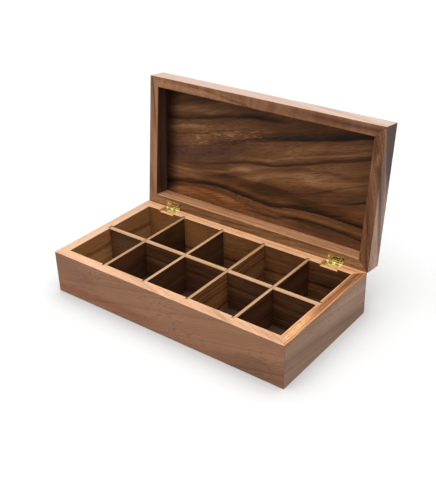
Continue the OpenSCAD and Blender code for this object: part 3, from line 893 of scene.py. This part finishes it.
def makeScrewTree():
    tree, given = newTree("countersunk screws", "GeometryNodeTree", {
        "Head Radius": "Float", "Head Height": "Float", "Shank Radius": "Float", "Length": "Float",
        "Recess": "Vector", "First Screw": "Vector", "Screw Step": "Vector", "Seed": "Int", **pairSockets},
        {"Geometry": "Geometry"})
    down = addNode(tree, "ShaderNodeMath", {0: given["Head Height"], 1: -1.0}, operation="MULTIPLY")
    underHead = addNode(tree, "ShaderNodeCombineXYZ", {"Z": down})
    head = addNode(tree, "GeometryNodeMeshCone", {
        "Vertices": screw["headSides"], "Radius Top": given["Head Radius"],
        "Radius Bottom": given["Shank Radius"], "Depth": given["Head Height"]})
    headPlaced = addNode(tree, "GeometryNodeTransform", {"Geometry": head, "Translation": underHead})
    bar = addNode(tree, "GeometryNodeMeshCube", {"Size": given["Recess"]})
    barAcross = addNode(tree, "GeometryNodeTransform", {"Geometry": bar,
                                                        "Rotation": (0, 0, math.radians(90))})
    recessed = addNode(tree, "GeometryNodeMeshBoolean", {"Mesh 1": headPlaced, "Mesh 2": [bar, barAcross]},
                       operation="DIFFERENCE", solver="EXACT")
    # the shank narrows to a point below the head
    rest = addNode(tree, "ShaderNodeMath", {0: given["Length"], 1: given["Head Height"]},
                   operation="SUBTRACT")
    shank = addNode(tree, "GeometryNodeMeshCone", {
        "Vertices": screw["shankSides"], "Side Segments": 1, "Radius Top": 0.0,
        "Radius Bottom": given["Shank Radius"], "Depth": rest})
    shankPlaced = addNode(tree, "GeometryNodeTransform", {"Geometry": shank, "Rotation": (math.pi, 0, 0),
                                                          "Translation": underHead})
    one = addNode(tree, "GeometryNodeJoinGeometry", {0: [recessed, shankPlaced]})
    row = addNode(tree, "GeometryNodeMeshLine", {"Count": 2, "Start Location": given["First Screw"],
                                                 "Offset": given["Screw Step"]})
    turn = addNode(tree, "FunctionNodeRandomValue", {2: 0.0, 3: math.pi, 8: given["Seed"]},
                   data_type="FLOAT")
    spin = addNode(tree, "ShaderNodeCombineXYZ", {"Z": turn.outputs[1]})
    two = addNode(tree, "GeometryNodeInstanceOnPoints", {"Points": row, "Instance": one, "Rotation": spin})
    return finishTree(tree, given, two)


def arc(radius, start, end, steps):
    angles = [math.radians(start + (end - start) * i / steps) for i in range(steps + 1)]
    return [(radius * math.cos(angle), radius * math.sin(angle)) for angle in angles]


def knuckleOutline(shape, heel):
    # the sheet comes in under the pin, rolls up behind it and over it, and ends just above the leaf
    offset, inner = shape["offset"], shape["sheet"] - shape["offset"]
    points = [(-offset, -offset)] + heel
    points += arc(shape["barrel"], 0, shape["rolledTo"], shape["barrelSteps"])
    points += arc(shape["bore"], shape["rolledTo"], -90, shape["boreSteps"])
    points += [(-shape["tongue"], inner), (-offset, inner)]
    mesh = bpy.data.meshes.new("knuckle outline")
    count = len(points)
    mesh.from_pydata([(y, z, 0) for y, z in points], [(i, (i + 1) % count) for i in range(count)], [])
    return mesh


def buildByNodes(name, start, tree, values, softened=0):
    softFrom, sharpFrom = (math.radians(angle) for angle in hinge["sharpFrom"])
    piece = bpy.data.objects.new(name, start)
    scene.collection.objects.link(piece)
    modifier = piece.modifiers.new("nodes", "NODES")
    modifier.node_group = tree
    for socket in tree.interface.items_tree:
        if socket.in_out == "INPUT" and socket.name in values:
            modifier[socket.identifier] = values[socket.name]
    if softened:
        bevel = piece.modifiers.new("softened edges", "BEVEL")
        bevel.width = softened
        bevel.segments = hinge["softSteps"]
        bevel.limit_method = "ANGLE"
        bevel.angle_limit = softFrom
    depsgraph = bpy.context.evaluated_depsgraph_get()
    made = bpy.data.meshes.new_from_object(piece.evaluated_get(depsgraph))
    piece.modifiers.clear()
    piece.data = made
    made.shade_smooth()
    made.set_sharp_from_angle(angle=sharpFrom)
    return piece


def hingeHalf(body, finish, knuckles, heel, turn, hasBar):
    gap, pitch, offset = hinge["knuckleGap"], hinge["pitch"], hinge["offset"]
    leftLow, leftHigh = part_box("hinge_pin_left")
    rightLow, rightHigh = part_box("hinge_pin_right")
    pinCentre = [(leftLow[i] + leftHigh[i]) / 2 for i in range(3)]
    placing = {"First Hinge": pinCentre, "Hinge Step": (rightLow[0] - leftLow[0], 0.0, 0.0), "Turn": turn}
    reach = hinge["leafWidth"] - offset
    places = len(hinge["baseKnuckles"]) + len(hinge["lidKnuckles"])
    barDepth = hinge["barrel"] - gap
    leaves = buildByNodes(f"{body}_hinge_leaves", knuckleOutline(hinge, heel), leafTree, {
        "Knuckle Width": pitch - gap, "First Knuckle": (knuckles[0] * pitch - pitch / 2 + gap / 2, 0.0, 0.0),
        "Knuckle Step": (2 * pitch, 0.0, 0.0), "Knuckle Count": len(knuckles), "Length": hinge["length"],
        "Reach": reach, "Plate Centre": (0.0, -offset - reach / 2, -offset), "Sheet": hinge["sheet"],
        "Corner Radius": hinge["corner"], "Hole Radius": screw["head"] + screw["holeGap"],
        "First Hole": (-screw["along"], offset + reach / 2 - screw["fromPin"], 0.0),
        "Hole Step": (2 * screw["along"], 0.0, 0.0), "Stop Bar": hasBar,
        "Bar Size": (places * pitch - gap, barDepth, hinge["barHeight"]),
        "Bar Centre": (0.0, gap + barDepth / 2, hinge["barTop"] - hinge["barHeight"] / 2),
        "Finish": finish, **placing}, hinge["softened"])
    screws = buildByNodes(f"{body}_hinge_screws", bpy.data.meshes.new("no screws yet"), screwTree, {
        "Head Radius": screw["head"], "Head Height": screw["headHeight"], "Shank Radius": screw["shank"],
        "Length": screw["length"], "Recess": screw["recess"],
        "First Screw": (-screw["along"], -screw["fromPin"], hinge["sheet"] - offset),
        "Screw Step": (2 * screw["along"], 0.0, 0.0), "Seed": screw["seed"],
        "Finish": brass, **placing})
    for piece, old in ((leaves, "leaf"), (screws, "screws")):
        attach(piece, body)
        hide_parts(f"{body}_hinge_{old}_left", f"{body}_hinge_{old}_right")


leafTree, screwTree = makeLeafTree(), makeScrewTree()
# heels, from the pin's axis: the base's runs down beside its bar, the lid's is square and stops on the bar
near, under, barrel = hinge["knuckleGap"], -hinge["offset"], hinge["barrel"]
legBottom = hinge["barTop"] - hinge["barHeight"]
baseHeel = [(near, under), (near, legBottom), (barrel, legBottom)]
lidHeel = [(barrel, under)]
lidTurn = Matrix.Rotation(-openAngle, 3, "X") @ Matrix.Rotation(math.pi, 3, "Y")
hingeHalf("base", brass, hinge["baseKnuckles"], baseHeel, (0.0, 0.0, 0.0), True)
hingeHalf("lid", shadedBrassCopy, hinge["lidKnuckles"], lidHeel, lidTurn.to_euler(), False)
print("hinges ready")
